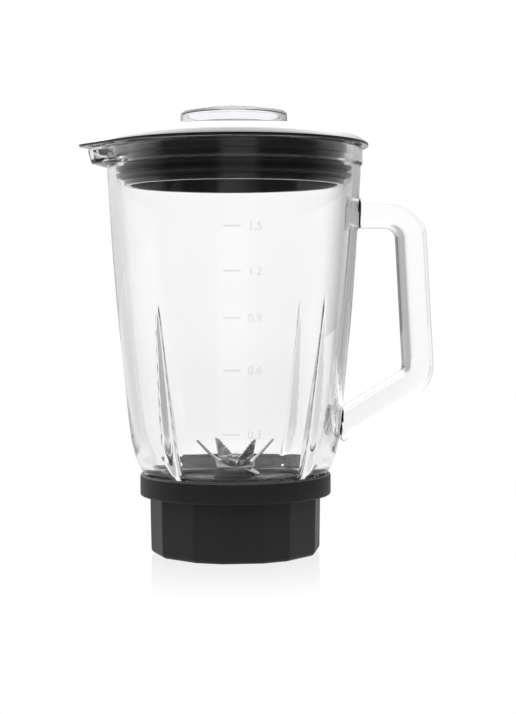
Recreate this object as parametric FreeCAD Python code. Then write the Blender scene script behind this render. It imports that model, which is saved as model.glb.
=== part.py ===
"""Glass jug unit of a countertop blender, as an assembly of separate solids, in millimetres.

+Z is up and the jug's axis is the Z axis. z = 0 is the underside of the base collar, at the axis.
The pouring lip points to -X, the handle to +X. Each function makes one piece, and the last
lines write every piece to parts/NODE.step.
"""

import FreeCAD
import Part
import math
import os

V = FreeCAD.Vector
UP = V(0, 0, 1)
ORIGIN = V(0, 0, 0)

# ---- driving dimensions -------------------------------------------------------------------
running_gap = 0.05      # radial, between the shaft and what it turns in
body_gap = 0.3          # between pieces that move past each other
press_gap = 0.02        # between pieces that are fixed on the shaft

# base collar: a skirt with fourteen flats under a round ring
skirt_corners = [14.0, 33.0, 62.0, 90.0, 118.0, 147.0, 166.0]     # degrees from the front, on both sides
skirt_corner_r = 47.5   # over the corners, under the ring
skirt_foot_r = 47.0     # over the corners, at the bottom
skirt_foot_round = 3.0
ring_r = 53.0
ring_bottom_z = 32.5
ring_top_z = 44.4
ring_lip = 1.6          # thickness of the ring's upright wall
ring_edge = 1.0         # bevel of the ring's outer edges
deck_z = 39.0           # top of the shoulder inside the ring
mouth_r = 40.5          # the hole that goes over the drive unit's spigot
mouth_depth = 6.0
skirt_bore_r = 42.0
ledge_bottom_z = 17.5
ledge_top_z = 20.0
ledge_hole_r = 27.0
collar_wall_r = 43.4    # inner wall behind the thread
web_count = 4           # webs that stiffen the ledge, clear of the coupling
web_inner_r = 34.0
web_sheet = 2.0
web_height = 6.0

# screw thread between the jug and the collar
pitch = 6.0
thread_turns = 1.5
thread_height = 1.4
thread_foot = 2.4
thread_crest = 1.2
thread_start_z = 27.0
thread_lead = 2.4       # how far the collar's thread lies above the jug's

# glass jug
neck_r = 41.4
neck_bore_r = 36.4
neck_end_z = 24.6
rim_z = 224.0
rim_r = 71.0
rim_inner_r = 66.0
rim_band_z = 214.6      # lower edge of the thick band round the rim
wall_outline = [(69.9, 212.0), (67.8, 174.0), (65.3, 141.0), (62.2, 107.0), (58.6, 70.0), (55.9, 56.0)]
shoulder = [(52.2, 46.6), (49.4, 42.4), (45.5, 41.0)]
inner_outline = [(65.9, 222.0), (65.5, 205.0), (63.5, 174.0), (60.9, 141.0), (57.6, 107.0), (53.2, 70.0),
                 (49.4, 56.0), (42.5, 46.5), (38.2, 43.0)]
lip_tip_x = 80.3
lip_round = 7.0
lip_wall = 3.0
lip_floor_z = 217.5
rib_top_z = 142.0
rib_foot_z = 44.0
rib_foot_r = 42.5       # how far from the axis the rib's edge is at its foot
rib_width = 11.0
rib_angles = [45.0, 135.0, 225.0, 315.0]

# handle: one glass bar, bent twice
handle_depth = 15.8
handle_width = 19.0
handle_edge_round = 6.0
handle_start = V(62.0, 0, 188.0)
handle_top_corner = V(98.4, 0, 188.0)
handle_low_corner = V(103.2, 0, 96.4)
handle_end = V(58.0, 0, 69.3)
handle_top_bend = 14.3
handle_low_bend = 12.5
root_flare = 1.6        # how much thicker the bar is where it joins the wall
root_length = 5.0
root_depth = 7.0

# blade carrier and its bearing
housing_flange_r = 42.6
housing_flange = 1.2
housing_rim_r = 33.8
housing_rim = 2.0
housing_rim_height = 8.0
fin_count = 6
fin_sheet = 1.6
fin_height = 9.0
dish_sheet = 1.0
seal_inner_r = 36.9
seal_outer_r = 41.2
seal_gap = 0.1          # above and below the ring
dish_wall_r = 35.8
dish_top_z = 39.0
bead_r = 26.0           # middle of the round bead on the platform
bead = 0.9
boss_foot_r = 12.0
boss_top_r = 7.6
boss_top_z = 45.5
boss_hole_r = 5.0
tube_r = 8.4
tube_bottom_z = 16.0
tube_top_z = 37.6
bush_r = 6.0
bush_length = 9.0
bush_inset = 0.4        # how far the bushes lie inside the tube's ends
shaft_r = 4.0
spindle_r = 3.0         # the thinner ends of the shaft
clip_depth = 0.6        # groove for the retaining clip
clip_sheet = 0.8
clip_r = 6.6
clip_mouth = 3.6
upper_washer_r = 7.0
lower_washer_r = 7.4
nut_r = 4.9             # over the corners
nut_height = 2.0
insert_corner_r = 7.0
blade_sheet = 1.4
blade_stack_z = 46.6

# drive coupling
coupling_r = 15.0
coupling_bottom_z = 6.4
coupling_top_z = 13.6
socket_r = 10.4
socket_depth = 4.6
socket_lobes = 6
lobe_depth = 3.0
lobe_width = 3.6

# lid, its gasket and the measuring cap
brim_r = 74.3
brim_under_z = rim_z + body_gap
lid_seat_z = 235.5
lid_hole_r = 25.2
lid_seat_r = 30.2
lid_tube_bottom_z = 212.0
plug_r = 61.0
plug_inner_r = 57.2
plug_bottom_z = 203.0
groove_r = 59.0
groove_low_z = 206.0
groove_high_z = 214.0
gasket_lip_r = 65.2
visor_tip_x = 85.3
cap_head_r = 29.5
cap_top_z = 244.5
cap_skirt_r = 24.8
cap_skirt_bottom_z = 209.0
cap_wall = 2.2
cap_gap = 0.1           # between the cap's head and its seat


# ---- helpers ------------------------------------------------------------------------------
def at(r, z):
    """A point of a round piece's outline, in the XZ plane."""
    return V(r, 0, z)


def line(a, b):
    return Part.LineSegment(a, b).toShape()


def arc(a, through, b):
    return Part.Arc(a, through, b).toShape()


def smooth(points):
    curve = Part.BSplineCurve()
    curve.interpolate(points)
    return curve.toShape()


def chain(points):
    """Straight edges from point to point."""
    return [line(a, b) for a, b in zip(points, points[1:])]


def turned(edges):
    """The solid that an outline in the XZ plane makes when it is turned about Z."""
    face = Part.Face(Part.Wire(edges))
    solid = face.revolve(ORIGIN, UP, 360)
    return solid


def turned_polygon(pairs):
    points = [at(r, z) for r, z in pairs]
    return turned(chain(points + points[:1]))


def tube(inner_r, outer_r, low_z, high_z):
    outer = Part.makeCylinder(outer_r, high_z - low_z, V(0, 0, low_z))
    return outer.cut(Part.makeCylinder(inner_r, high_z - low_z, V(0, 0, low_z)))


def round_point(r, degrees, z):
    angle = math.radians(degrees)
    return V(r * math.cos(angle), r * math.sin(angle), z)


def regular_polygon(corner_r, z, sides, first_angle):
    return Part.makePolygon([round_point(corner_r, first_angle + 360.0 * i / sides, z) for i in range(sides + 1)])


def spun(shape, angle):
    turned_shape = shape.copy()
    turned_shape.rotate(ORIGIN, UP, angle)
    return turned_shape


def teardrop(big_r, small_r, tip_x, low_z, high_z):
    """A prism round a circle of big_r and a small one whose far side is at x = -tip_x."""
    centre = tip_x - small_r
    half = math.acos((big_r - small_r) / centre)
    cos_a, sin_a = math.cos(math.pi - half), math.sin(math.pi - half)
    big = [V(big_r * cos_a, s * big_r * sin_a, low_z) for s in (1, -1)]
    small = [V(small_r * cos_a - centre, s * small_r * sin_a, low_z) for s in (1, -1)]
    wire = Part.Wire([
        arc(big[1], V(big_r, 0, low_z), big[0]),
        line(big[0], small[0]),
        arc(small[0], V(-tip_x, 0, low_z), small[1]),
        line(small[1], big[1]),
    ])
    return Part.Face(wire).extrude(V(0, 0, high_z - low_z))


def thread_ridge(root_r, height, start_z, turns):
    """One helical ridge on a wall of root_r. A negative height points it inwards."""
    bite = math.copysign(0.4, height)
    half_foot, half_crest = thread_foot / 2, thread_crest / 2
    profile = Part.makePolygon([
        V(root_r - bite, 0, start_z - half_foot),
        V(root_r + height, 0, start_z - half_crest),
        V(root_r + height, 0, start_z + half_crest),
        V(root_r - bite, 0, start_z + half_foot),
        V(root_r - bite, 0, start_z - half_foot),
    ])
    helix = Part.makeHelix(pitch, pitch * turns, root_r)
    helix.translate(V(0, 0, start_z))
    return Part.Wire(helix.Edges).makePipeShell([profile], True, True)


# ---- base collar --------------------------------------------------------------------------
def skirt_outline(corner_r, z):
    turns = skirt_corners + [360.0 - turn for turn in reversed(skirt_corners)]
    return Part.makePolygon([round_point(corner_r, turn - 90.0, z) for turn in turns + turns[:1]])


def base_collar():
    skirt = Part.makeLoft([
        skirt_outline(skirt_foot_r, 0),
        skirt_outline(skirt_corner_r, ring_bottom_z + 1),
    ], True, True)
    k = skirt_foot_round
    foot_r = skirt_foot_r - 0.9
    mid = k * (1 - math.sqrt(0.5))
    envelope = turned([
        line(at(0, 0), at(foot_r - k, 0)),
        arc(at(foot_r - k, 0), at(foot_r - mid + 0.2, mid), at(foot_r + 0.5, k)),
        line(at(foot_r + 0.5, k), at(ring_r, k + 20)),
        line(at(ring_r, k + 20), at(ring_r, ring_top_z)),
        line(at(ring_r, ring_top_z), at(0, ring_top_z)),
        line(at(0, ring_top_z), at(0, 0)),
    ])
    skirt = skirt.common(envelope)
    lip_r = ring_r - ring_lip
    ring = turned_polygon([
        (0, ring_bottom_z), (ring_r - ring_edge, ring_bottom_z), (ring_r, ring_bottom_z + ring_edge),
        (ring_r, ring_top_z - ring_edge), (ring_r - ring_edge, ring_top_z),
        (lip_r, ring_top_z - ring_edge), (lip_r, deck_z), (0, deck_z),
    ])
    body = skirt.fuse(ring)
    hollow = turned_polygon([
        (0, -1), (mouth_r, -1), (mouth_r, mouth_depth), (skirt_bore_r, mouth_depth),
        (skirt_bore_r, ledge_bottom_z), (ledge_hole_r, ledge_bottom_z), (ledge_hole_r, ledge_top_z),
        (collar_wall_r, ledge_top_z), (collar_wall_r, deck_z + 1), (0, deck_z + 1),
    ])
    body = body.cut(hollow)
    ridge = thread_ridge(collar_wall_r, -thread_height, thread_start_z + thread_lead, thread_turns)
    body = body.fuse(ridge)
    for i in range(web_count):
        corner = V(web_inner_r, -web_sheet / 2, ledge_bottom_z - web_height)
        web = Part.makeBox(skirt_bore_r + 0.5 - web_inner_r, web_sheet, web_height, corner)
        body = body.fuse(spun(web, 45 + 360.0 / web_count * i))
    return body.removeSplitter()


# ---- glass jug ----------------------------------------------------------------------------
def rounded_bar(width, depth, corner):
    """A rounded rectangle about the origin in the YZ plane: width along Y, depth along Z."""
    a, b = width / 2, depth / 2
    bend = corner * (1 - math.sqrt(0.5))
    edges = []
    corners = [(a, b, 1, 1), (-a, b, -1, 1), (-a, -b, -1, -1), (a, -b, 1, -1)]
    starts = []
    for y, z, sy, sz in corners:
        along_y = V(0, y - sy * corner, z)
        along_z = V(0, y, z - sz * corner)
        middle = V(0, y - sy * bend, z - sz * bend)
        first, last = (along_z, along_y) if sy == sz else (along_y, along_z)
        starts.append((first, middle, last))
    for i, (first, middle, last) in enumerate(starts):
        edges.append(arc(first, middle, last))
        edges.append(line(last, starts[(i + 1) % 4][0]))
    return Part.Wire(edges)


def facing(wire, place, direction):
    """A wire drawn about the origin across +X, moved to place and turned to face direction."""
    moved = wire.copy()
    tilt = math.degrees(math.atan2(direction.z, direction.x))
    moved.rotate(ORIGIN, V(0, 1, 0), -tilt)
    moved.translate(place)
    return moved


def bend(before, corner, after, radius):
    """Start, middle and end of the arc that rounds a corner of a path."""
    u = (before - corner).normalize()
    w = (after - corner).normalize()
    half = u.getAngle(w) / 2
    reach = radius / math.tan(half)
    bisector = (u + w).normalize()
    centre = corner + bisector * (radius / math.sin(half))
    return corner + u * reach, centre - bisector * radius, corner + w * reach


def handle_bar():
    top = bend(handle_start, handle_top_corner, handle_low_corner, handle_top_bend)
    low = bend(handle_top_corner, handle_low_corner, handle_end, handle_low_bend)
    path = Part.Wire([
        line(handle_start, top[0]), arc(*top), line(top[2], low[0]), arc(*low), line(low[2], handle_end),
    ])
    section = rounded_bar(handle_width, handle_depth, handle_edge_round)
    first = facing(section, handle_start, handle_top_corner - handle_start)
    bar = path.makePipeShell([first], True, False)
    wide = rounded_bar(handle_width + 2 * root_flare, handle_depth + 2 * root_flare, handle_edge_round)
    for foot, beyond, wall_r in ((handle_start, handle_top_corner, 68.8), (handle_end, handle_low_corner, 58.6)):
        way = (beyond - foot).normalize()
        root = foot + way * ((wall_r - foot.x) / way.x)
        flare = Part.makeLoft([
            facing(wide, root - way * root_depth, way),
            facing(wide, root, way),
            facing(section, root + way * root_length, way),
        ], True, True)
        bar = bar.fuse(flare)
    return bar


def jug_inside():
    spline = smooth([at(r, z) for r, z in inner_outline])
    top = at(rim_inner_r, rim_z + 1)
    low = at(neck_bore_r, 41.2)
    return turned([
        line(at(0, rim_z + 1), top),
        line(top, at(*inner_outline[0])),
        spline,
        line(at(*inner_outline[-1]), low),
        line(low, at(neck_bore_r, neck_end_z - 1)),
        line(at(neck_bore_r, neck_end_z - 1), at(0, neck_end_z - 1)),
        line(at(0, neck_end_z - 1), at(0, rim_z + 1)),
    ])


def jug_outside(shrink=0.0):
    """The jug's outer body. With shrink it ends inside the glass, to trim what joins the wall."""
    outline = [(r - shrink, z) for r, z in wall_outline + shoulder]
    spline = smooth([at(r, z) for r, z in outline])
    band_r = rim_r - shrink
    top_round = 1.6
    return turned([
        line(at(0, rim_z), at(band_r - top_round, rim_z)),
        arc(at(band_r - top_round, rim_z), at(band_r - 0.47, rim_z - 0.47), at(band_r, rim_z - top_round)),
        line(at(band_r, rim_z - top_round), at(band_r, rim_band_z)),
        line(at(band_r, rim_band_z), at(*outline[0])),
        spline,
        line(at(*outline[-1]), at(neck_r - shrink, shoulder[-1][1])),
        line(at(neck_r - shrink, shoulder[-1][1]), at(neck_r - shrink, neck_end_z)),
        line(at(neck_r - shrink, neck_end_z), at(0, neck_end_z)),
        line(at(0, neck_end_z), at(0, rim_z)),
    ])


def rib():
    """One flute on the inner wall at angle 0: a blade of glass that grows towards its foot."""
    sections = []
    for z, edge_r, width in ((rib_top_z, 61.2, 0.6), (93.0, 52.6, 7.0), (rib_foot_z, rib_foot_r, rib_width)):
        back_r = 70.0
        half = width / 2
        sections.append(Part.makePolygon([
            V(edge_r, 0, z), V(edge_r + 4.0, half, z), V(back_r, half + 1, z),
            V(back_r, -half - 1, z), V(edge_r + 4.0, -half, z), V(edge_r, 0, z),
        ]))
    return Part.makeLoft(sections, True, True)


def glass_jug():
    body = jug_outside()
    band = teardrop(rim_r, lip_round, lip_tip_x, rim_band_z, rim_z)
    body = body.fuse(band)
    inside = jug_inside()
    ribs = rib()
    for angle in rib_angles[1:]:
        ribs = ribs.fuse(spun(rib(), angle - rib_angles[0]))
    ribs = spun(ribs, rib_angles[0]).common(jug_outside(1.0))
    body = body.cut(inside).fuse(ribs)
    body = body.fuse(handle_bar().cut(jug_inside()).cut(jug_outside(2.0)))
    body = body.fuse(thread_ridge(neck_r, thread_height, thread_start_z, thread_turns))
    channel = teardrop(rim_inner_r - 0.4, lip_round - lip_wall, lip_tip_x - lip_wall, lip_floor_z, rim_z + 1)
    keep = Part.makeBox(60, 80, 40, V(-110, -40, 200))
    body = body.cut(channel.common(keep))
    return body.removeSplitter()


# ---- seal, carrier and bearing ------------------------------------------------------------
dish_flange_z = ledge_top_z + housing_flange
seal_bottom_z = dish_flange_z + dish_sheet


def jug_seal():
    """Flat silicone ring between the jug's foot and the dish, with a short skirt inside the neck."""
    low, high = seal_bottom_z + seal_gap, neck_end_z - seal_gap
    return tube(seal_inner_r, seal_outer_r, low, high)


def carrier_dish():
    """Glossy moulded dish: flange, upright wall, round platform with a bead, and a central boss."""
    s = dish_sheet
    z0 = dish_flange_z
    wall_in = dish_wall_r - s
    outer = [
        (housing_flange_r, z0), (housing_flange_r, z0 + s), (dish_wall_r, z0 + s),
        (dish_wall_r, dish_top_z - 2), (dish_wall_r - 2, dish_top_z),
        (bead_r + 2, dish_top_z), (bead_r + 1, dish_top_z + bead), (bead_r - 1, dish_top_z + bead),
        (bead_r - 2, dish_top_z), (boss_foot_r + 3, dish_top_z), (boss_foot_r, dish_top_z + 1.5),
        (boss_top_r + 0.8, boss_top_z - 1.2), (boss_top_r - 0.6, boss_top_z), (boss_hole_r, boss_top_z),
    ]
    inner = [
        (boss_hole_r, boss_top_z - s), (boss_top_r - 1.2, boss_top_z - s), (boss_top_r - 0.3, boss_top_z - 1.8),
        (boss_foot_r - 1.1, dish_top_z + 0.8), (boss_foot_r + 2.2, dish_top_z - s),
        (wall_in - 1.4, dish_top_z - s), (wall_in, dish_top_z - 2.4), (wall_in, z0),
    ]
    return turned_polygon(outer + inner)


def bearing_housing():
    """Moulded housing under the dish: flange, rim, fins, and the tube that holds both bushes."""
    low, high = ledge_top_z, ledge_top_z + housing_flange
    inner_rim_r = housing_rim_r - housing_rim
    body = turned_polygon([
        (bush_r, tube_bottom_z), (tube_r, tube_bottom_z), (tube_r, low), (housing_flange_r, low),
        (housing_flange_r, high), (housing_rim_r, high), (housing_rim_r, high + housing_rim_height),
        (inner_rim_r, high + housing_rim_height), (inner_rim_r, high + 1), (tube_r, high + 1),
        (tube_r, tube_top_z), (bush_r, tube_top_z),
    ])
    reach = inner_rim_r + 0.6 - tube_r
    for i in range(fin_count):
        fin = Part.makeBox(reach, fin_sheet, fin_height, V(tube_r - 0.5, -fin_sheet / 2, high + 0.5))
        body = body.fuse(spun(fin, 30 + 360.0 / fin_count * i))
    return body.removeSplitter()


def bush(low_z):
    """Sintered bearing bush, pressed in the housing's tube."""
    return tube(shaft_r + running_gap, bush_r, low_z, low_z + bush_length)


def shaft_seal():
    """Lip seal round the shaft, under the boss."""
    low, high = tube_top_z + 0.1, boss_top_z - dish_sheet - 0.2
    lip = shaft_r + running_gap
    return turned_polygon([
        (5.4, low), (6.8, low), (6.8, high - 3.2), (6.0, high), (lip, high), (lip, high - 0.8),
        (5.4, high - 2.0),
    ])


# ---- turning group ------------------------------------------------------------------------
stack_top_z = blade_stack_z + 3 * blade_sheet
socket_top_z = coupling_bottom_z + socket_depth
lower_washer_sheet = 0.8
clip_z = tube_bottom_z - body_gap - lower_washer_sheet - clip_sheet


def drive_shaft():
    """Steel shaft: thin end in the coupling, clip groove, running part, thin end for blades and nut."""
    groove = shaft_r - clip_depth
    end_z = stack_top_z + 2.7
    return turned_polygon([
        (0, socket_top_z), (spindle_r, socket_top_z), (spindle_r, coupling_top_z), (shaft_r, coupling_top_z),
        (shaft_r, clip_z), (groove, clip_z), (groove, clip_z + clip_sheet), (shaft_r, clip_z + clip_sheet),
        (shaft_r, blade_stack_z), (spindle_r, blade_stack_z), (spindle_r, end_z - 0.5),
        (spindle_r - 0.5, end_z), (0, end_z),
    ])


def washer(outer_r, low_z, high_z):
    """Flat steel thrust washer on the shaft."""
    return tube(shaft_r + press_gap, outer_r, low_z, high_z)


def retaining_clip():
    """C-shaped clip that snaps into the shaft's groove."""
    play = 0.04
    ring = tube(shaft_r - clip_depth + press_gap, clip_r, clip_z + play, clip_z + clip_sheet - play)
    return ring.cut(Part.makeBox(clip_r + 1, clip_mouth, 4, V(0, -clip_mouth / 2, clip_z - 1)))


def wing(hub_half, root_width, length, tip_width, tip_shift, slope, teeth):
    """One blade wing. It starts at the hub's edge, points to +X and is bent up by slope degrees.

    tip_shift moves the tip sideways. teeth are cut into the edge on the -Y side.
    """
    half_root, half_tip = root_width / 2, tip_width / 2
    left = [(0.0, half_root), (length, tip_shift + half_tip)]
    right = [(length, tip_shift - half_tip), (0.0, -half_root)]
    outline = list(left) + [right[0]]
    depth = 0.8
    for i in range(teeth):
        for share, inset in ((0.25, depth), (0.95, 0.0)):
            t = (i + share) / teeth
            x = right[0][0] + (right[1][0] - right[0][0]) * t
            y = right[0][1] + (right[1][1] - right[0][1]) * t
            outline.append((x, y + inset))
    outline.append(right[1])
    points = [V(x, y, 0) for x, y in outline + outline[:1]]
    plate = Part.Face(Part.makePolygon(points)).extrude(V(0, 0, blade_sheet))
    knee = Part.makeCylinder(blade_sheet / 2, root_width, V(0, -half_root, blade_sheet / 2), V(0, 1, 0))
    plate = plate.fuse(knee)
    plate.rotate(V(0, 0, blade_sheet / 2), V(0, 1, 0), -slope)
    plate.translate(V(hub_half, 0, 0))
    return plate


def blade(low_z, angle, wing_shape):
    long, wide = 2 * wing_shape["hub_half"], wing_shape["root_width"]
    body = Part.makeBox(long, wide, blade_sheet, V(-long / 2, -wide / 2, 0))
    for side in (0, 180):
        body = body.fuse(spun(wing(**wing_shape), side))
    body = body.cut(Part.makeCylinder(spindle_r + 0.02, 10, V(0, 0, -5)))
    body.translate(V(0, 0, low_z))
    return spun(body, angle).removeSplitter()


lower_wing = dict(hub_half=8.0, root_width=11.0, length=7.4, tip_width=6.0, tip_shift=-1.0, slope=-42.0, teeth=0)
middle_wing = dict(hub_half=9.9, root_width=9.0, length=17.4, tip_width=1.2, tip_shift=2.4, slope=49.0, teeth=0)
upper_wing = dict(hub_half=7.0, root_width=12.0, length=12.6, tip_width=2.0, tip_shift=4.8, slope=76.0, teeth=9)


def hexagon(corner_r, low_z, height, first_angle):
    return Part.Face(regular_polygon(corner_r, low_z, 6, first_angle)).extrude(V(0, 0, height))


def blade_nut():
    """Thin hexagonal nut with bevelled upper corners."""
    z = stack_top_z
    bevel = Part.makeCone(nut_r + 0.3, nut_r - 1.0, nut_height + 0.4, V(0, 0, z - 0.1))
    body = hexagon(nut_r, z, nut_height, 12).common(bevel)
    return body.cut(Part.makeCylinder(spindle_r + press_gap, 5, V(0, 0, z - 1)))


def coupling_insert():
    """Hexagonal brass insert, moulded into the coupling and screwed on the shaft."""
    low = socket_top_z
    body = hexagon(insert_corner_r, low, coupling_top_z - low, 0)
    return body.cut(Part.makeCylinder(spindle_r + press_gap, 10, V(0, 0, low - 1)))


def drive_coupling():
    """Rubber coupling with a lobed socket that the motor's dog drives."""
    low, high = coupling_bottom_z, coupling_top_z
    body = turned_polygon([
        (0, low), (coupling_r - 1, low), (coupling_r, low + 1), (coupling_r, high - 1.5),
        (coupling_r - 1.5, high), (0, high),
    ])
    socket = Part.makeCylinder(socket_r, socket_depth + 1, V(0, 0, low - 1))
    for i in range(socket_lobes):
        lobe = Part.makeBox(lobe_depth + 1.2, lobe_width, socket_depth, V(socket_r - lobe_depth, -lobe_width / 2, low))
        socket = socket.cut(spun(lobe, 360.0 / socket_lobes * i))
    return body.cut(socket).cut(hexagon(insert_corner_r, low, high - low + 1, 0))


# ---- lid, gasket and cap ------------------------------------------------------------------
def lid():
    under = brim_under_z
    top = [
        line(at(lid_hole_r, lid_tube_bottom_z), at(lid_hole_r, lid_seat_z)),
        line(at(lid_hole_r, lid_seat_z), at(lid_seat_r, lid_seat_z)),
        line(at(lid_seat_r, lid_seat_z), at(lid_seat_r + 0.8, lid_seat_z + 0.5)),
        arc(at(lid_seat_r + 0.8, lid_seat_z + 0.5), at(54.0, 233.6), at(71.8, 228.6)),
        arc(at(71.8, 228.6), at(73.6, 227.4), at(brim_r, 225.4)),
        line(at(brim_r, 225.4), at(brim_r - 0.7, under)),
    ]
    rest = chain([
        at(brim_r - 0.7, under), at(plug_r, under), at(plug_r, groove_high_z), at(groove_r, groove_high_z),
        at(groove_r, groove_low_z), at(plug_r, groove_low_z), at(plug_r, plug_bottom_z + 0.8),
        at(plug_r - 0.8, plug_bottom_z), at(plug_inner_r, plug_bottom_z), at(plug_inner_r, 230.4),
        at(lid_hole_r + 2.4, 233.2), at(lid_hole_r + 2.4, lid_tube_bottom_z),
        at(lid_hole_r, lid_tube_bottom_z),
    ])
    body = turned(top + rest)
    visor = teardrop(brim_r, 9.0, visor_tip_x, under, under + 1.9)
    visor = visor.cut(Part.makeCylinder(brim_r - 3, 10, V(0, 0, under - 3)))
    body = body.fuse(visor)
    # tongue that closes the pouring lip
    tip = lip_tip_x - lip_wall - 1.5
    tongue = Part.makeBox(2.2, 4.6, 5.4, V(-tip, -2.3, under - 5.2))
    body = body.fuse(tongue)
    # thumb ridges beside the cap, on the handle's side
    for i in range(4):
        ridge = Part.makeBox(1.6, 20.0 - 2 * i, 4.0, V(44.0 + 4.2 * i, -10.0 + i, 231.0))
        top_cut = Part.makeBox(4, 30, 10, V(43.0 + 4.2 * i, -15, lid_seat_z + 0.1 - 0.5 * i))
        body = body.fuse(ridge.cut(top_cut))
    return body.removeSplitter()


def lid_gasket():
    """Silicone ring in the plug's groove, with two soft lips."""
    low, high = groove_low_z + 0.1, groove_high_z - 0.1
    root = groove_r + 1.9
    inside = groove_r + 0.02
    return turned_polygon([
        (inside, low), (root, low), (root, low + 0.5), (gasket_lip_r, low + 1.6), (gasket_lip_r, low + 2.2),
        (root, low + 1.9), (root, low + 4.5), (gasket_lip_r, low + 5.6), (gasket_lip_r, low + 6.2),
        (root, low + 5.9), (root, high), (inside, high),
    ])


def measuring_cap():
    """Clear cup that stands upside down in the lid's hole: wide head, thick top, thin skirt."""
    low = lid_seat_z + cap_gap
    w = cap_wall
    head_wall = 3.0
    return turned([
        line(at(0, cap_top_z), at(cap_head_r - 3, cap_top_z)),
        arc(at(cap_head_r - 3, cap_top_z), at(cap_head_r - 0.88, cap_top_z - 0.88), at(cap_head_r, cap_top_z - 3)),
        line(at(cap_head_r, cap_top_z - 3), at(cap_head_r, low)),
        line(at(cap_head_r, low), at(cap_skirt_r, low)),
        line(at(cap_skirt_r, low), at(cap_skirt_r - 0.6, cap_skirt_bottom_z)),
        line(at(cap_skirt_r - 0.6, cap_skirt_bottom_z), at(cap_skirt_r - 0.6 - w, cap_skirt_bottom_z)),
        line(at(cap_skirt_r - 0.6 - w, cap_skirt_bottom_z), at(cap_skirt_r - w, low + 1.4)),
        line(at(cap_skirt_r - w, low + 1.4), at(cap_head_r - head_wall, low + 2.6)),
        line(at(cap_head_r - head_wall, low + 2.6), at(cap_head_r - head_wall - 0.6, cap_top_z - 2.4)),
        line(at(cap_head_r - head_wall - 0.6, cap_top_z - 2.4), at(0, cap_top_z - 2.4)),
        line(at(0, cap_top_z - 2.4), at(0, cap_top_z)),
    ])


# ---- all pieces ---------------------------------------------------------------------------
pieces = {
    "base_collar": base_collar(),
    "bearing_housing": bearing_housing(),
    "carrier_dish": carrier_dish(),
    "upper_bush": bush(tube_top_z - bush_length - bush_inset),
    "lower_bush": bush(tube_bottom_z + bush_inset),
    "shaft_seal": shaft_seal(),
    "jug_seal": jug_seal(),
    "glass_jug": glass_jug(),
    "drive_shaft": drive_shaft(),
    "upper_washer": washer(upper_washer_r, boss_top_z + body_gap, blade_stack_z),
    "lower_washer": washer(lower_washer_r, clip_z + clip_sheet, tube_bottom_z - body_gap),
    "retaining_clip": retaining_clip(),
    "lower_blade": blade(blade_stack_z, 155.0, lower_wing),
    "middle_blade": blade(blade_stack_z + blade_sheet, 175.5, middle_wing),
    "upper_blade": blade(blade_stack_z + 2 * blade_sheet, 127.0, upper_wing),
    "blade_nut": blade_nut(),
    "coupling_insert": coupling_insert(),
    "drive_coupling": drive_coupling(),
    "lid": lid(),
    "lid_gasket": lid_gasket(),
    "measuring_cap": measuring_cap(),
}

os.makedirs("parts", exist_ok=True)
for name, shape in pieces.items():
    box = shape.BoundBox
    print("%-16s solids %d valid %s volume %9.1f  x %7.2f..%7.2f  y %7.2f..%7.2f  z %7.2f..%7.2f" % (
        name, len(shape.Solids), shape.isValid(), shape.Volume,
        box.XMin, box.XMax, box.YMin, box.YMax, box.ZMin, box.ZMax))
    shape.exportStep("parts/%s.step" % name)
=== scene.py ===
import math

import bpy
from mathutils import Matrix, Vector
from mathutils.geometry import interpolate_bezier


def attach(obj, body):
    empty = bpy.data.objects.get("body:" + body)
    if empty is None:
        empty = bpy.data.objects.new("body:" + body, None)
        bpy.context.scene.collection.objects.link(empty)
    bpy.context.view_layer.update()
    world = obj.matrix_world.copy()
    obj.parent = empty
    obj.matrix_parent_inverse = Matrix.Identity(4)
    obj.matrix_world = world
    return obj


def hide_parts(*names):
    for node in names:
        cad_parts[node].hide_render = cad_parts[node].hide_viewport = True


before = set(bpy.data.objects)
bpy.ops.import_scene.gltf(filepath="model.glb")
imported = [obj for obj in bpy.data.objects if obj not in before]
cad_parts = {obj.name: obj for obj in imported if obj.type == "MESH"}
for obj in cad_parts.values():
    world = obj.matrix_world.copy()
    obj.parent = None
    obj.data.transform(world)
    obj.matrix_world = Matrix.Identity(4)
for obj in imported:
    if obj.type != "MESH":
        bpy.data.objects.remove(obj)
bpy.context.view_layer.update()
bpy.ops.object.select_all(action="DESELECT")


# ---- studio --------------------------------------------------------------------------------
# A white light table with a lit backdrop behind it, greyer walls left and right of the backdrop,
# which draw the edges of clear glass, and a dark room with a dim window behind the camera.
class Value:
    """A socket that can be reckoned with: each operation adds a Math node."""

    def __init__(self, nodes, socket):
        self.nodes, self.socket = nodes, socket

    def maths(self, operation, first, second):
        return self.nodes.add("ShaderNodeMath", {"operation": operation}, {0: first, 1: second})

    def __add__(self, other):
        return self.maths("ADD", self, other)

    def __sub__(self, other):
        return self.maths("SUBTRACT", self, other)

    def __rsub__(self, other):
        return self.maths("SUBTRACT", other, self)

    def __mul__(self, other):
        return self.maths("MULTIPLY", self, other)

    def __truediv__(self, other):
        return self.maths("DIVIDE", self, other)

    def __abs__(self):
        return self.maths("ABSOLUTE", self, 0)

    __radd__ = __add__
    __rmul__ = __mul__


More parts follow.
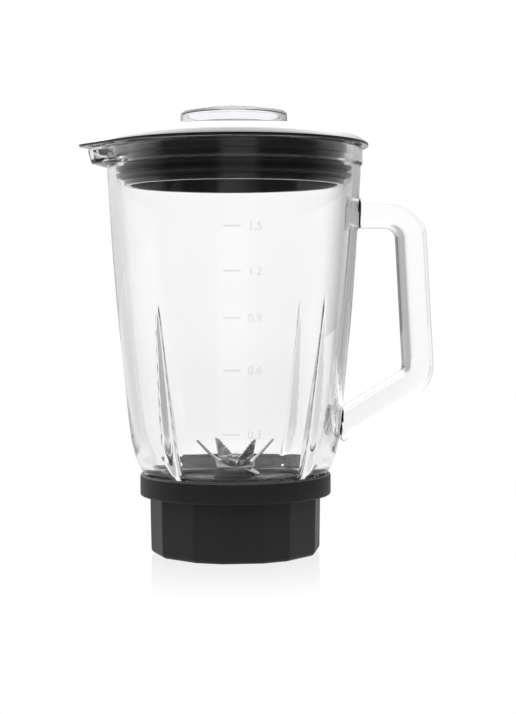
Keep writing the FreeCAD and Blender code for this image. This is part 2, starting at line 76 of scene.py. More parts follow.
class Nodes:
    """The nodes of one finish, or of the world."""

    def __init__(self, owner):
        owner.use_nodes = True
        self.tree = owner.node_tree

    def add(self, kind, settings=None, sockets=None, output=0):
        """Adds a node, sets it up, plugs in values or links, and gives back one of its outputs."""
        node = self.tree.nodes.new(kind)
        for name, setting in (settings or {}).items():
            if name == "stops":
                for _ in setting[2:]:
                    node.color_ramp.elements.new(0.5)
                for element, (place, shade) in zip(node.color_ramp.elements, setting):
                    element.position = place
                    element.color = (shade, shade, shade, 1.0)
            else:
                setattr(node, name, setting)
        self.plug(node, sockets or {})
        return Value(self, node.outputs[output])

    def plug(self, node, sockets):
        for name, value in sockets.items():
            if isinstance(value, Value):
                self.tree.links.new(value.socket, node.inputs[name])
            else:
                node.inputs[name].default_value = value


def spread(value, low, high, first=0.0, last=1.0, kind="LINEAR"):
    """Takes a value from low..high to first..last."""
    return value.nodes.add("ShaderNodeMapRange", {"interpolation_type": kind}, {
        "Value": value, "From Min": low, "From Max": high, "To Min": first, "To Max": last})


def light_rays(nodes):
    """Whether a ray comes from the camera, through something clear, or off something glossy."""
    seen = nodes.add("ShaderNodeLightPath", output="Is Camera Ray")
    through = nodes.add("ShaderNodeLightPath", output="Is Transmission Ray")
    mirrored = nodes.add("ShaderNodeLightPath", output="Is Glossy Ray") * (1 - through)
    return seen, through, mirrored


white = (1.0, 1.0, 1.0, 1.0)
# Tones round the room, by degrees to the right of the backdrop's middle.
wall_tones = [
    (-180, 0.06), (-110, 0.08), (-75, 0.60), (-62, 0.70), (-16, 0.80), (-9, 1.0),
    (12, 1.0), (18, 0.48), (62, 0.46), (80, 0.34), (110, 0.08), (180, 0.06),
]
window_from, window_full, window_tone = 158, 167, 0.3
world = bpy.data.worlds.new("studio")
bpy.context.scene.world = world
sky = Nodes(world)
direction = sky.add("ShaderNodeTexCoord", output="Generated")
split = sky.add("ShaderNodeSeparateXYZ", sockets={0: direction}).socket.node
across, away, up = (Value(sky, socket) for socket in split.outputs)
turn = across.maths("ARCTAN2", across, away) / (2 * math.pi) + 0.5
walls = sky.add("ShaderNodeValToRGB", {
    "stops": [((180 + degrees) / 360, tone) for degrees, tone in wall_tones]}, {0: turn})
upright = spread(up, -0.06, 0.16, 1.10, 1.19)
glow = spread(up, 0.02, 0.80, 0.38, 6.0)
seen, through, mirrored = light_rays(sky)
ceiling = spread(up, 0.30, 0.75, kind="SMOOTHSTEP")
window = spread(abs(turn - 0.5), window_from / 360, window_full / 360, 0.0, window_tone) * through
room = sky.add("ShaderNodeMix", {"data_type": "RGBA"}, {0: ceiling + window, 6: walls, 7: white}, output=2)
backdrop = sky.add("ShaderNodeMix", {"data_type": "RGBA"}, {0: seen, 6: room, 7: white}, output=2)
brightness = seen + (1 - seen) * (upright * (1 - mirrored) + glow * mirrored)
sky.plug(sky.tree.nodes["Background"], {"Color": backdrop, "Strength": brightness})

# The table's tone follows the wall that stands beyond it. Close to the object it is a faint mirror.
bpy.ops.mesh.primitive_plane_add(size=6.0)
table = bpy.context.object
table.name = "light_table"
table.data.materials.append(bpy.data.materials.new("white_table"))
paint = Nodes(table.data.materials[0])
place = paint.add("ShaderNodeTexCoord", output="Object")
reach = paint.add("ShaderNodeVectorMath", {"operation": "LENGTH"}, {0: place}, output="Value")
aside = paint.add("ShaderNodeSeparateXYZ", sockets={0: place}, output=0)
behind = paint.add("ShaderNodeSeparateXYZ", sockets={0: place}, output=1)
seen, through, mirrored = light_rays(paint)
bearing = aside / (abs(behind) + 0.6)
right = spread(bearing, 0.22, 0.36, 1.0, 0.46, "SMOOTHSTEP")
left = spread(bearing, -0.30, -0.14, 0.73, 1.0, "SMOOTHSTEP")
back = spread(behind, 0.0, 2.6, 1.02, 1.10)
front = spread(behind, -0.4, -0.07, 0.1, 1.0, "SMOOTHSTEP")
lane = spread(abs(aside) / (abs(behind) + 0.2), 0.2, 0.3, window_tone, 0.0) * through
dimmed = (front + (1 - front) * lane) * back * right * left
shown = dimmed * (1 - seen) * (1 - mirrored * 0.3) + seen
lit = paint.add("ShaderNodeEmission", {}, {"Color": white, "Strength": shown})
gloss = paint.add("ShaderNodeBsdfGlossy", {}, {"Color": white, "Roughness": 0.06})
mirror_share = spread(reach, 0.045, 0.14, 0.17, 0.0) * seen
surface = paint.add("ShaderNodeMixShader", {}, {0: mirror_share, 1: lit, 2: gloss})
paint.plug(paint.tree.nodes["Material Output"], {"Surface": surface})

camera_turn = math.radians(-4.5)
camera_reach = 0.884
camera_height = 0.141
aim_right, aim_height = 0.0128, 0.1086
camera_roll = math.radians(-0.25)
eye = Vector((camera_reach * math.sin(camera_turn), -camera_reach * math.cos(camera_turn), camera_height))
aim = Vector((aim_right * math.cos(camera_turn), aim_right * math.sin(camera_turn), aim_height))
bpy.ops.object.camera_add(location=eye)
camera = bpy.context.object
camera.matrix_world = (
    Matrix.Translation(eye)
    @ (aim - eye).to_track_quat("-Z", "Y").to_matrix().to_4x4()
    @ Matrix.Rotation(camera_roll, 4, "Z")
)
camera.data.lens = 80.2
camera.data.sensor_width = 36.0
bpy.context.scene.camera = camera
bpy.context.scene.view_settings.view_transform = "Standard"
bpy.context.scene.cycles.max_bounces = 24
bpy.context.scene.cycles.transmission_bounces = 24
bpy.context.scene.cycles.glossy_bounces = 8


# ---- base collar ---------------------------------------------------------------------------
# Black moulded plastic: a skirt with fourteen flats that stands on the motor base, under a round
# ring whose inner thread holds the jug's neck. The moulded skin is satin, a little uneven.
def finish(name, base, **sockets):
    """A material with a Principled shader whose even values are set on its own sockets."""
    material = bpy.data.materials.new(name)
    nodes = Nodes(material)
    shader = nodes.tree.nodes["Principled BSDF"]
    nodes.plug(shader, {"Base Color": (*base, 1.0)})
    nodes.plug(shader, {key.replace("_", " "): value for key, value in sockets.items()})
    return material, nodes, shader


def grain(nodes, scale, detail=2.0, stretch=(1, 1, 1)):
    """Noise on Object coordinates, about 1/scale metres coarse."""
    place = nodes.add("ShaderNodeTexCoord", output="Object")
    place = nodes.add("ShaderNodeMapping", {}, {"Vector": place, "Scale": stretch})
    return nodes.add("ShaderNodeTexNoise", {}, {"Vector": place, "Scale": scale, "Detail": detail})


def rounded(corners, segments=5):
    """Turns (radius, height, rounding) corners into points, with an arc for each rounded corner."""
    points = []
    for i, (r, z, rounding) in enumerate(corners):
        here = Vector((r, z))
        if rounding == 0:
            points.append(here)
            continue
        before = (Vector(corners[i - 1][:2]) - here).normalized()
        after = (Vector(corners[(i + 1) % len(corners)][:2]) - here).normalized()
        half = before.angle(after) / 2
        centre = here + (before + after).normalized() * rounding / math.sin(half)
        first = (here + before * rounding / math.tan(half) - centre).normalized()
        last = (here + after * rounding / math.tan(half) - centre).normalized()
        for k in range(segments + 1):
            points.append(centre + first.slerp(last, k / segments, first) * rounding)
    return points


def flowing(points, segments=6):
    """A smooth line through points, as short straight steps."""
    points = [Vector(p) for p in points]
    ends = [points[0]] + points + [points[-1]]
    line = [points[0]]
    for before, here, there, after in zip(ends, ends[1:], ends[2:], ends[3:]):
        lead = here + (there - before) / 6
        lag = there - (after - here) / 6
        line += interpolate_bezier(here, lead, lag, there, segments + 1)[1:]
    return [p.to_2d() if len(p) > 2 else p for p in line]


def wrapped(name, across, along, place):
    """A flat grid that is wrapped into shape: place(u, v) says in mm where each point goes."""
    bpy.ops.mesh.primitive_grid_add(x_subdivisions=across, y_subdivisions=along, size=1)
    piece = bpy.context.object
    piece.name = name
    for point in piece.data.vertices:
        point.co = Vector(place(point.co.x + 0.5, point.co.y + 0.5)) / 1000
    return closed_up(piece)


def closed_up(piece):
    """Joins points that meet and turns the faces outwards."""
    bpy.ops.object.mode_set(mode="EDIT")
    bpy.ops.mesh.select_all(action="SELECT")
    bpy.ops.mesh.remove_doubles(threshold=2e-6)
    bpy.ops.mesh.normals_make_consistent(inside=False)
    bpy.ops.object.mode_set(mode="OBJECT")
    return piece


def turned(name, outline, steps=128):
    """Extrudes a vertex along an outline of (radius, height) in mm and spins the line about the axis."""
    bpy.ops.mesh.primitive_plane_add(size=0.001)
    piece = bpy.context.object
    piece.name = name
    bpy.ops.object.mode_set(mode="EDIT")
    bpy.ops.mesh.select_all(action="SELECT")
    bpy.ops.mesh.merge(type="CENTER")
    points = [Vector((p[0], 0, p[1])) / 1000 for p in outline]
    bpy.ops.transform.translate(value=points[0])
    for here, there in zip(points, points[1:]):
        bpy.ops.mesh.extrude_vertices_move(TRANSFORM_OT_translate={"value": there - here})
    bpy.ops.mesh.select_all(action="SELECT")
    bpy.ops.mesh.spin(steps=steps, angle=2 * math.pi, center=(0, 0, 0), axis=(0, 0, 1))
    bpy.ops.object.mode_set(mode="OBJECT")
    return closed_up(piece)


def modified(piece, kind, **settings):
    """Adds a modifier and applies it."""
    bpy.context.view_layer.objects.active = piece
    change = piece.modifiers.new("change", kind)
    for name, setting in settings.items():
        setattr(change, name, setting)
    bpy.ops.object.modifier_apply(modifier=change.name)
    return piece


def smooth(piece, degrees=35.0):
    bpy.ops.object.select_all(action="DESELECT")
    piece.select_set(True)
    bpy.context.view_layer.objects.active = piece
    bpy.ops.object.shade_smooth_by_angle(angle=math.radians(degrees))
    piece.select_set(False)
    return piece


def finished(piece, material, body, slot, *nodes):
    """Gives a piece its material and body, and hides the CAD nodes that it stands for. The slot is not used.
    """
    piece.data.materials.clear()
    piece.data.materials.append(material)
    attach(piece, body)
    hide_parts(*nodes)


satin_black, nodes, shader = finish("satin_black", (0.0135, 0.0135, 0.014), Specular_IOR_Level=0.26)
skin = grain(nodes, 9000.0)
sink = grain(nodes, 60.0, 1.0)
nodes.plug(shader, {
    "Roughness": 0.36 + sink * 0.10 + skin * 0.06,
    "Normal": nodes.add("ShaderNodeBump", {}, {"Height": skin, "Strength": 0.10, "Distance": 0.0002}),
})

skirt_corners = [14, 33, 62, 90, 118, 147, 166]
skirt_corners += [360 - corner for corner in reversed(skirt_corners)]
skirt_panel_steps = 10
skirt_r, ring_r, ring_low, ring_high = 47.55, 53.0, 32.6, 44.4
mouth_r, thread_wall_r, deck_z = 40.5, 43.4, 39.0
ledge_r, ledge_low, ledge_high = 27.0, 17.5, 20.0
collar_line = rounded([
    (mouth_r, 0, 0.6), (skirt_r - 0.5, 0, 3.0), (skirt_r, ring_low, 0.3), (ring_r, ring_low, 1.0),
    (ring_r, ring_high, 1.4), (ring_r - 2.2, ring_high, 0.4), (ring_r - 2.6, deck_z, 0.6),
    (thread_wall_r, deck_z, 0.5), (thread_wall_r, ledge_high, 0.4), (ledge_r, ledge_high, 0.4),
    (ledge_r, ledge_low, 0.4), (42.0, ledge_low, 1.5), (42.0, 6.0, 0.4), (mouth_r, 6.0, 0.3),
], 5)
collar_line.append(collar_line[0])


def on_skirt(r, u):
    """The point at share u of the way round a fourteen-sided outline with corners r from the axis."""
    panel, share = divmod(u * len(skirt_corners), 1)
    first, last = (math.radians(skirt_corners[int(panel + i) % len(skirt_corners)] - 90) for i in (0, 1))
    start = Vector((math.cos(first), math.sin(first)))
    end = Vector((math.cos(last), math.sin(last)))
    return start.lerp(end, share) * r


def on_collar(u, v):
    """Flat panels on the skirt's outside, round everywhere else."""
    r, z = collar_line[round(v * (len(collar_line) - 1))]
    flat = on_skirt(r, u % 1.0)
    if thread_wall_r < r < skirt_r + 0.45 and z <= ring_low:
        return (*flat, z)
    return (*(flat.normalized() * r), z)


collar = wrapped("base_collar_shell", skirt_panel_steps * len(skirt_corners), len(collar_line) - 1, on_collar)
collar = modified(
    collar, "BEVEL", width=0.0005, segments=2, limit_method="ANGLE", angle_limit=math.radians(16))
finished(smooth(collar, 30), satin_black, "base", "collar_plastic", "base_collar")


# ---- glass jug -----------------------------------------------------------------------------
# Thick clear glass, pressed in one piece in a four-part mould: body, screw neck, rim with its
# pouring lip, four flutes inside, and a solid bar handle. The scale is raised on the front.
clear_glass, nodes, shader = finish(
    "clear_glass", (0.99, 0.99, 0.99), Roughness=0.0, IOR=1.5, Transmission_Weight=1.0)
ripple = grain(nodes, 35.0, 1.0, (1, 1, 0.4))
nodes.plug(shader, {"Normal": nodes.add("ShaderNodeBump", {}, {
    "Height": ripple, "Strength": 0.12, "Distance": 0.0006})})
depth = nodes.add("ShaderNodeVolumeAbsorption", {}, {"Color": (0.62, 0.63, 0.63, 1), "Density": 11.0})
nodes.plug(nodes.tree.nodes["Material Output"], {"Volume": depth})

outer_wall = flowing([
    (45.5, 41.0), (49.4, 42.4), (52.2, 46.6), (54.6, 51.7), (56.3, 57.3), (58.6, 70.0), (62.3, 107.3),
    (65.4, 140.7), (67.8, 174.0), (69.6, 205.0), (69.95, 212.0),
], 7)
inner_wall = flowing([
    (65.9, 219.0), (65.5, 205.0), (63.5, 174.0), (60.9, 141.0), (57.6, 107.0), (53.2, 70.0), (49.6, 56.0),
    (47.0, 49.6), (43.6, 45.6), (39.6, 43.4), (36.4, 42.4),
], 9)
neck_r, neck_bore_r, neck_low, neck_height, neck_rows = 41.4, 36.4, 25.6, 14.4, 30
neck = rounded([
    (neck_bore_r, 30.0, 0), (neck_bore_r, 24.6, 0.7), (neck_r, 24.6, 0.7), (neck_r, neck_low, 0)], 3)
neck += [Vector((neck_r, neck_low + neck_height * i / neck_rows)) for i in range(1, neck_rows + 1)]
rim_r, rim_inner_r = 71.0, 65.6
rim = rounded([
    (69.95, 212.6, 0), (69.95, 213.8, 0.6), (rim_r, 215.2, 0.8), (rim_r, 224.0, 1.9), (66.0, 224.0, 1.4),
    (66.0, 222.0, 0),
], 5)
rim += [Vector((65.95, z)) for z in (221.0, 219.6, 218.4, 217.7)]
rim += [Vector((65.9, z)) for z in (217.3, 216.8)]
rim_end = 216.0
jug_line = neck + outer_wall + rim + [p for p in inner_wall if p.y < rim_end] + neck[:1]
jug_steps = 360

lip_tip, lip_round, lip_wall, lip_floor = 80.3, 7.0, 3.0, 217.5
rib_top, rib_foot = (61.3, 142.0), (42.5, 44.0)
rib_half_top, rib_half_foot = 0.8, 5.4
thread_start, thread_pitch, thread_turns = 27.0, 6.0, 1.5
thread_height, thread_half, thread_flank = 1.4, 1.2, 0.6


def beak(turn, circle_r, small_r, tip):
    """How far out a round outline with one rounded beak at angle pi is, in direction turn."""
    off = abs(math.remainder(turn - math.pi, 2 * math.pi))
    reach = tip - small_r
    touch = math.acos((circle_r - small_r) / reach)
    tip_end = math.atan2(small_r * math.sin(touch), reach + small_r * math.cos(touch))
    if off >= touch:
        return circle_r
    if off > tip_end:
        return circle_r / math.cos(touch - off)
    return reach * math.cos(off) + math.sqrt(small_r ** 2 - (reach * math.sin(off)) ** 2)


def ease(value, low, high):
    """A soft step from 0 at low to 1 at high."""
    share = min(max((value - low) / (high - low), 0.0), 1.0)
    return share * share * (3 - 2 * share)


def on_jug(u, v):
    """The point of the pressed jug without its handle. The columns stand closer at the four ribs."""
    r, z = jug_line[round(v * (len(jug_line) - 1))]
    turn = 2 * math.pi * u + 0.15 * math.sin(8 * math.pi * u)
    if z > 212.0:
        if r > 66.6:
            r += (beak(turn, rim_r, lip_round, lip_tip) - rim_r) * ease(z, 213.2, 216.4) * ease(r, 65.0, 69.0)
        elif z > lip_floor:
            r += beak(turn, rim_inner_r, lip_round - lip_wall, lip_tip - lip_wall) - rim_inner_r
        return (r * math.cos(turn), r * math.sin(turn), z)
    if rib_foot[1] < z < rib_top[1] and inside_wall(r, z):
        share = (rib_top[1] - z) / (rib_top[1] - rib_foot[1])
        crest = rib_top[0] + (rib_foot[0] - rib_top[0]) * share
        off = abs(math.remainder(turn - math.pi / 4, math.pi / 2)) * r
        half = rib_half_top + (rib_half_foot - rib_half_top) * share
        if off < half and crest < r:
            r -= (r - crest) * (0.5 + 0.5 * math.cos(math.pi * off / half)) ** 0.8
    if thread_start - 1 < z < 38.0 and r > 41.0:
        along = (z - thread_start) / thread_pitch - turn / (2 * math.pi)
        near = abs(along - round(along)) * thread_pitch
        wound = round(along) + turn / (2 * math.pi)
        full = ease(wound, -0.03, 0.03) * (1 - ease(wound, thread_turns - 0.03, thread_turns + 0.03))
        r += thread_height * full * min(max((thread_half - near) / thread_flank, 0.0), 1.0)
    return (r * math.cos(turn), r * math.sin(turn), z)


def inside_wall(r, z):
    """True for a point on the inner face of the wall."""
    nearest = min(inner_wall, key=lambda p: abs(p.y - z))
    return abs(nearest.x - r) < 1.6


jug = wrapped("pressed_jug", jug_steps, len(jug_line) - 1, on_jug)

# The handle is a bar with a rounded section, bent twice. Its ends spread where they meet the wall.
handle_width, handle_depth = 19.0, 15.8
handle_path = [(66.0, 188.0), (98.4, 188.0), (103.2, 96.4), (56.0, 68.1)]
handle_bends = [0, 14.3, 12.5, 0]
handle_steps = 56
handle_square, handle_flare = 0.32, 2.2
close_r, close_step, far_step = 74, 1.2, 4.0


def bar_stations():
    """Places along the handle, closer together near the wall: centre and the direction across the bar."""
    centres = rounded([(x, z, bend) for (x, z), bend in zip(handle_path, handle_bends)], 14)
    dense = []
    for here, there in zip(centres, centres[1:]):
        step = close_step if min(here.x, there.x) < close_r else far_step
        pieces = max(1, round((there - here).length / step))
        dense += [here.lerp(there, i / pieces) for i in range(pieces)]
    dense.append(centres[-1])
    stations = []
    for i, centre in enumerate(dense):
        ahead = (dense[min(i + 1, len(dense) - 1)] - dense[max(i - 1, 0)]).normalized()
        stations.append((centre, Vector((-ahead.y, ahead.x))))
    return stations


def wall_r(z):
    """The radius of the jug's outside at height z."""
    points = sorted((p.y, p.x) for p in outer_wall)
    for (z0, r0), (z1, r1) in zip(points, points[1:]):
        if z0 <= z <= z1:
            return r0 + (r1 - r0) * (z - z0) / max(z1 - z0, 1e-6)
    return points[-1][1]


stations = bar_stations()


def on_bar(u, v):
    """A point of the bar: a rounded oblong section that spreads in a fillet where it nears the wall."""
    centre, outwards = stations[round(v * (len(stations) - 1))]
    turn = 2 * math.pi * u
    side = math.copysign(abs(math.cos(turn)) ** handle_square, math.cos(turn))
    out = math.copysign(abs(math.sin(turn)) ** handle_square, math.sin(turn))
    wide, deep = handle_width / 2, handle_depth / 2
    point = Vector((centre.x, centre.y)) + outwards * (-deep * out)
    gap = point.x - math.sqrt(max(wall_r(point.y) ** 2 - (wide * side) ** 2, 0))
    fillet = handle_flare - math.sqrt(max(handle_flare ** 2 - max(handle_flare - max(gap, 0), 0) ** 2, 0))
    point += outwards * (-fillet * out)
    return (point.x, (wide + fillet) * side, point.y)


bar = wrapped("handle_bar", handle_steps, len(stations) - 1, on_bar)
bpy.ops.object.mode_set(mode="EDIT")
bpy.ops.mesh.select_all(action="DESELECT")
bpy.ops.mesh.select_non_manifold()
bpy.ops.mesh.edge_face_add()
bpy.ops.mesh.select_all(action="SELECT")
bpy.ops.mesh.normals_make_consistent(inside=False)
bpy.ops.object.mode_set(mode="OBJECT")

core = turned("wall_core", [(0, 30), (40, 30)] + [(p.x - 2.0, p.y) for p in outer_wall[4:]] + [(0, 212)], 128)
modified(bar, "BOOLEAN", object=core, operation="DIFFERENCE", solver="EXACT")
bpy.data.objects.remove(core)
modified(jug, "BOOLEAN", object=bar, operation="UNION", solver="EXACT")
bpy.data.objects.remove(bar)

finished(smooth(jug, 32), clear_glass, "jug", "jug_glass", "glass_jug")


# ---- the jug's scale -----------------------------------------------------------------------
# Raised glass on the front of the jug: a short dash and a number for each mark. The mould is
# sand-blasted there, so the marks are a little frosted. Their glass is also tinted greyer than the
# jug's, and that tint is painted shade.
# The base colour 0.91, greyer than the jug's clear 0.99, is painted shade that darkens the marks; the
# roughness is the real frosting.
frosted_glass, nodes, shader = finish(
    "frosted_glass", (0.91, 0.91, 0.91), Roughness=0.22, IOR=1.5, Transmission_Weight=1.0)
marks = [("1.5", 178.5), ("1.2", 155.4), ("0.9", 131.2), ("0.6", 103.9), ("0.3", 70.3)]
mark_sink, mark_rise = 0.1, 0.3
dash_long, dash_thick, dash_centre = 8.8, 0.9, -6.7
number_size, number_left, number_low = 6.2, 1.7, -2.2
signs = []
for text, height in marks:
    bpy.ops.mesh.primitive_grid_add(x_subdivisions=8, y_subdivisions=1, size=1)
    dash = bpy.context.object
    for point in dash.data.vertices:
        point.co = Vector((point.co.x * dash_long, point.co.y * dash_thick, 0))
    modified(dash, "SOLIDIFY", thickness=mark_sink + mark_rise, offset=0)
    bpy.ops.object.text_add()
    number = bpy.context.object
    number.data.body = text
    number.data.size = number_size
    number.data.extrude = (mark_sink + mark_rise) / 2
    number.data.resolution_u = 4
    bpy.ops.object.convert(target="MESH")
    closed_up(number)
    for sign, left, low in ((dash, dash_centre, 0.0), (number, number_left, number_low)):
        for point in sign.data.vertices:
            x, y, z = point.co
            r = wall_r(height + y + low) + z + (mark_rise - mark_sink) / 2
            turn = -math.pi / 2 + (left + x) / r
            point.co = Vector((r * math.cos(turn), r * math.sin(turn), height + y + low)) / 1000
        signs.append(sign)
bpy.ops.object.select_all(action="DESELECT")
for sign in signs:
    sign.select_set(True)
bpy.context.view_layer.objects.active = signs[0]
bpy.ops.object.join()
scale = closed_up(bpy.context.object)
scale.name = "jug_scale"
finished(smooth(scale, 30), frosted_glass, "jug", "jug_glass")


# ---- lid -----------------------------------------------------------------------------------
# Glossy black moulded plastic: a shallow dome with a thin brim, a visor over the pouring lip, a
# flat seat for the cap round the filler hole, and a plug with a groove for the gasket.
gloss_black, nodes, shader = finish(
    "gloss_black", (0.02, 0.02, 0.0205), Specular_IOR_Level=0.5, Coat_Weight=0.3, Coat_Roughness=0.03)
wear = grain(nodes, 45.0, 3.0)
wave = grain(nodes, 22.0, 0.0)
nodes.plug(shader, {
    "Roughness": 0.10 + wear * 0.08,
    "Normal": nodes.add("ShaderNodeBump", {}, {"Height": wave, "Strength": 0.05, "Distance": 0.001}),
})

brim_r, visor_tip = 74.3, 85.3
dome = flowing([(31.6, 236.3), (44.0, 235.3), (55.0, 233.6), (64.0, 231.5), (70.5, 228.9), (73.7, 226.5)], 6)
lid_line = rounded([(25.2, 212.0, 0), (25.2, 235.5, 0.4), (30.2, 235.5, 0.2), (30.6, 236.1, 0)], 4)
lid_line += dome
lid_line += rounded([
    (brim_r, 225.7, 0), (74.2, 224.5, 0.3), (72.0, 224.35, 0), (62.6, 224.35, 0.4), (62.6, 219.4, 0.5),
    (61.0, 219.0, 0.3), (61.0, 214.0, 0.3), (59.0, 214.0, 0.3), (59.0, 206.0, 0.3), (61.0, 206.0, 0.3),
    (60.6, 203.0, 0.7), (57.3, 203.0, 0.7), (57.2, 230.2, 2.0), (27.6, 232.9, 1.0), (27.4, 212.0, 0),
], 4)
lid_line.append(lid_line[0])


def on_lid(u, v):
    """Round, with a pointed visor in the brim."""
    r, z = lid_line[round(v * (len(lid_line) - 1))]
    turn = 2 * math.pi * u
    if z > 224.0 and r > 60.0:
        r += (beak(turn, brim_r, 9.0, visor_tip) - brim_r) * ease(r, 72.8, brim_r)
    return (r * math.cos(turn), r * math.sin(turn), z)


lid = wrapped("lid_shell", 240, len(lid_line) - 1, on_lid)
grip_count, grip_r, grip_z, grip_gap, grip_drop = 4, 44.8, 234.1, 4.2, 0.6
for i in range(grip_count):
    centre = ((grip_r + grip_gap * i) / 1000, 0, (grip_z - grip_drop * i) / 1000)
    bpy.ops.mesh.primitive_cube_add(size=0.001, location=centre)
    grip = bpy.context.object
    bpy.ops.transform.resize(value=(1.7, 20.0 - 2 * i, 3.4))
    bpy.ops.object.transform_apply(location=True, rotation=True, scale=True)
    modified(grip, "BEVEL", width=0.0005, segments=3)
    lid.select_set(True)
    bpy.context.view_layer.objects.active = lid
    bpy.ops.object.join()
finished(smooth(lid, 32), gloss_black, "lid", "lid_plastic", "lid")


# ---- lid gasket ----------------------------------------------------------------------------
# A black rubber ring in the plug's groove, with two soft lips that wipe the jug's wall.
black_rubber, nodes, shader = finish("black_rubber", (0.024, 0.024, 0.024), Specular_IOR_Level=0.35)
dust = grain(nodes, 2500.0)
nodes.plug(shader, {
    "Roughness": 0.42 + dust * 0.2,
    "Normal": nodes.add("ShaderNodeBump", {}, {"Height": dust, "Strength": 0.15, "Distance": 0.0001}),
})
gasket = turned("gasket_ring", rounded([
    (59.05, 206.2, 0), (61.2, 206.2, 0.3), (61.2, 206.8, 0.4), (65.2, 207.8, 0.35), (65.2, 208.6, 0.35),
    (61.0, 208.4, 0.5), (61.0, 210.6, 0.5), (65.2, 211.7, 0.35), (65.2, 212.5, 0.35), (61.2, 212.3, 0.5),
    (61.2, 213.8, 0.3), (59.05, 213.8, 0), (59.05, 206.2, 0),
], 3), 160)
finished(smooth(gasket, 40), black_rubber, "lid", "seal_rubber", "lid_gasket")


# ---- measuring cap -------------------------------------------------------------------------
# Clear moulded plastic cup that stands upside down in the filler hole: a wide thick head to
# grip and a thin skirt that goes into the hole.
clear_plastic, nodes, shader = finish(
    "clear_plastic", (0.97, 0.97, 0.98), Roughness=0.0, IOR=1.5, Transmission_Weight=1.0)
flow = grain(nodes, 60.0, 1.0)
nodes.plug(shader, {"Normal": nodes.add("ShaderNodeBump", {}, {
    "Height": flow, "Strength": 0.08, "Distance": 0.0004})})
tint = nodes.add("ShaderNodeVolumeAbsorption", {}, {"Color": (0.55, 0.55, 0.6, 1), "Density": 8.0})
nodes.plug(nodes.tree.nodes["Material Output"], {"Volume": tint})
cap_line = rounded([
    (0, 244.5, 0), (29.5, 244.5, 2.2), (29.5, 235.7, 0.7), (24.8, 235.7, 0.4), (24.3, 209.0, 0.7),
    (22.1, 209.0, 0.7), (22.8, 236.4, 0.5), (27.0, 237.1, 0.6), (26.6, 242.3, 1.4), (0, 242.3, 0),
], 5)
cap = turned("cap_cup", cap_line, 128)
finished(smooth(cap, 40), clear_plastic, "cap", "cap_plastic", "measuring_cap")


# ---- blade carrier -------------------------------------------------------------------------
# The glossy black dish under the blades, with concentric ridges and a domed boss that the
# shaft comes out of. It closes the jug's neck from below.
dish_black, nodes, shader = finish(
    "dish_black", (0.008, 0.008, 0.0085), Specular_IOR_Level=0.3)
swirl = grain(nodes, 80.0, 1.0)
nodes.plug(shader, {
    "Roughness": 0.10 + swirl * 0.06,
    "Normal": nodes.add("ShaderNodeBump", {}, {"Height": swirl, "Strength": 0.04, "Distance": 0.001}),
})
dish_line = rounded([
    (42.5, 21.25, 0.2), (42.5, 22.15, 0.2), (35.8, 22.2, 0.5), (35.8, 39.0, 1.6), (32.0, 39.1, 0.3),
    (31.0, 38.5, 0.3), (29.5, 38.5, 0.3), (28.5, 39.6, 0.5), (25.5, 39.9, 0.6), (24.0, 38.9, 0.4),
    (18.0, 38.9, 0.3), (17.2, 39.4, 0.3), (13.5, 39.6, 1.0), (11.6, 41.2, 1.0), (9.8, 43.9, 1.4),
    (6.6, 45.5, 1.0), (5.0, 45.5, 0.3), (5.0, 44.5, 0.2), (6.0, 44.5, 0.3), (8.4, 43.2, 0.6),
    (11.0, 39.4, 0.6), (14.2, 38.0, 0.3), (34.8, 37.9, 0.6), (34.8, 21.3, 0.2),
], 5)
dish = turned("blade_dish", dish_line + dish_line[:1], 144)
finished(smooth(dish, 32), dish_black, "base", "dish_plastic", "carrier_dish")


# ---- blades --------------------------------------------------------------------------------
# Three stamped stainless plates with two bent wings each, stacked on the shaft under a nut.
# The upper pair has a row of teeth; all are ground across their length.
blade_steel, nodes, shader = finish("ground_steel", (0.6, 0.6, 0.61), Metallic=1.0)
scratches = grain(nodes, 900.0, 3.0, (1, 0.06, 0.06))
stain = grain(nodes, 90.0, 2.0)
nodes.plug(shader, {
    "Roughness": 0.10 + scratches * 0.14 + stain * 0.05,
    "Normal": nodes.add("ShaderNodeBump", {}, {"Height": scratches, "Strength": 0.2, "Distance": 0.0001}),
})
blade_sheet = 1.4
blade_stack = 46.6
bend_half = 1.0
tooth_depth, tooth_valley, tooth_point = 1.6, 0.25, 0.95


def wing_edge(root, length, tip, shift, teeth):
    """The outline of one wing from its left root round the tip to its right root, along +X in mm."""
    points = [(0, root / 2), (length, shift + tip / 2), (length, shift - tip / 2)]
    start, end = Vector(points[-1]), Vector((0, -root / 2))
    for i in range(teeth):
        for share, inset in ((tooth_valley, tooth_depth), (tooth_point, 0.0)):
            along = start.lerp(end, (i + share) / teeth)
            points.append((along.x, along.y + inset))
    points.append(tuple(end))
    return points


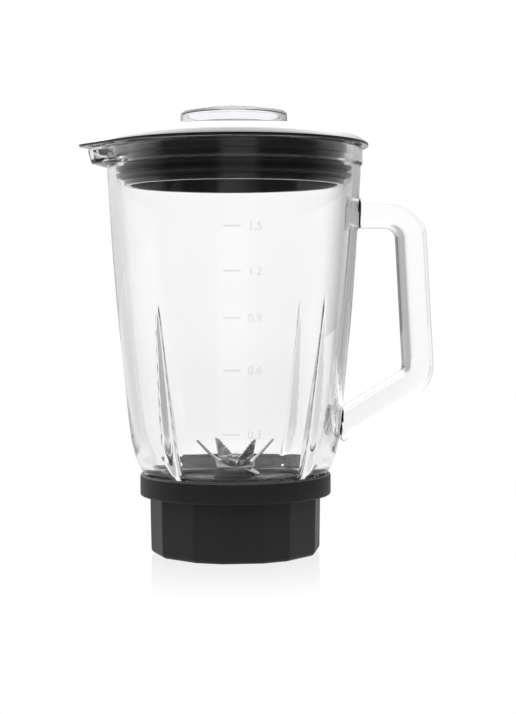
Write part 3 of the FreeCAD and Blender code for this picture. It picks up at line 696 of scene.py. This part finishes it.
def blade(name, node, level, turn, hub, root, length, tip, shift, slope, teeth=0):
    """A flat plate with two wings, cut across where it bends, folded up by slope and given its sheet."""
    edge = [(x + hub, y) for x, y in wing_edge(root, length, tip, shift, teeth)]
    outline = edge + [(-x, -y) for x, y in edge]
    mesh = bpy.data.meshes.new(name)
    mesh.from_pydata([(x / 1000, y / 1000, 0) for x, y in outline], [], [range(len(outline))])
    piece = bpy.data.objects.new(name, mesh)
    bpy.context.collection.objects.link(piece)
    bpy.context.view_layer.objects.active = piece
    bpy.ops.object.mode_set(mode="EDIT")
    for cut in [hub - 1, hub - 0.6, hub - 0.2, hub + 0.2, hub + 0.6, hub + 1, hub + length * 0.5]:
        for side in (-1, 1):
            bpy.ops.mesh.select_all(action="SELECT")
            bpy.ops.mesh.bisect(plane_co=(side * cut / 1000, 0, 0), plane_no=(1, 0, 0))
    bpy.ops.object.mode_set(mode="OBJECT")
    tilt = math.radians(slope)
    turn_r = 2 * bend_half / tilt
    for point in piece.data.vertices:
        x, side = abs(point.co.x) * 1000, math.copysign(1, point.co.x)
        arc = tilt * min(max((x - hub + bend_half) / (2 * bend_half), 0), 1)
        beyond = max(x - hub - bend_half, 0)
        run = min(x, hub - bend_half) + turn_r * math.sin(arc) + beyond * math.cos(tilt)
        rise = turn_r * (1 - math.cos(arc)) + beyond * math.sin(tilt)
        point.co.x, point.co.z = side * run / 1000, rise / 1000
    modified(piece, "SOLIDIFY", thickness=blade_sheet / 1000 - 0.0001, offset=0)
    modified(piece, "BEVEL", width=0.00018, segments=2, limit_method="ANGLE", angle_limit=math.radians(40))
    lift = Matrix.Translation((0, 0, (blade_stack + (level + 0.5) * blade_sheet) / 1000))
    piece.data.transform(lift @ Matrix.Rotation(math.radians(turn), 4, "Z"))
    finished(smooth(closed_up(piece), 30), blade_steel, "blade_drive", "blade_steel", node)


blade("lower_wings", "lower_blade", level=0, turn=155.0, hub=8.0, root=11.0, length=7.4, tip=6.0,
      shift=-1.0, slope=-42.0)
blade("middle_wings", "middle_blade", level=1, turn=175.5, hub=9.9, root=9.0, length=17.2, tip=1.2,
      shift=2.4, slope=49.0)
blade("upper_wings", "upper_blade", level=2, turn=127.0, hub=7.0, root=12.0, length=12.4, tip=2.0,
      shift=4.8, slope=76.0, teeth=7)


# ---- nut, shaft and what is hidden ---------------------------------------------------------
# The thin nut is ground steel like the blades, the shaft and its washers are bright turned steel;
# bushes are sintered bronze, the housing and the coupling are black, the neck's seal is grey silicone.
for name, base, metal, rough, coarse in (
    ("turned_steel", (0.6, 0.6, 0.61), 1.0, 0.2, 700.0),
    ("sintered_bronze", (0.45, 0.3, 0.15), 1.0, 0.45, 3000.0),
    ("turned_brass", (0.75, 0.55, 0.25), 1.0, 0.3, 800.0),
    ("coupling_rubber", (0.02, 0.02, 0.02), 0.0, 0.5, 1500.0),
    ("grey_silicone", (0.5, 0.5, 0.49), 0.0, 0.4, 1200.0),
):
    material, nodes, shader = finish(name, base, Metallic=metal)
    rub = grain(nodes, coarse, 3.0)
    nodes.plug(shader, {
        "Roughness": rough + rub * 0.15,
        "Normal": nodes.add("ShaderNodeBump", {}, {"Height": rub, "Strength": 0.1, "Distance": 0.0001}),
    })
for name, nodes_of_finish in (
    ("satin_black", ["bearing_housing"]),
    ("black_rubber", ["shaft_seal"]),
    ("ground_steel", ["blade_nut"]),
    ("turned_steel", ["drive_shaft", "upper_washer", "lower_washer", "retaining_clip"]),
    ("sintered_bronze", ["upper_bush", "lower_bush"]),
    ("turned_brass", ["coupling_insert"]),
    ("coupling_rubber", ["drive_coupling"]),
    ("grey_silicone", ["jug_seal"]),
):
    for node in nodes_of_finish:
        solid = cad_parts[node]
        solid.data.materials.clear()
        solid.data.materials.append(bpy.data.materials[name])
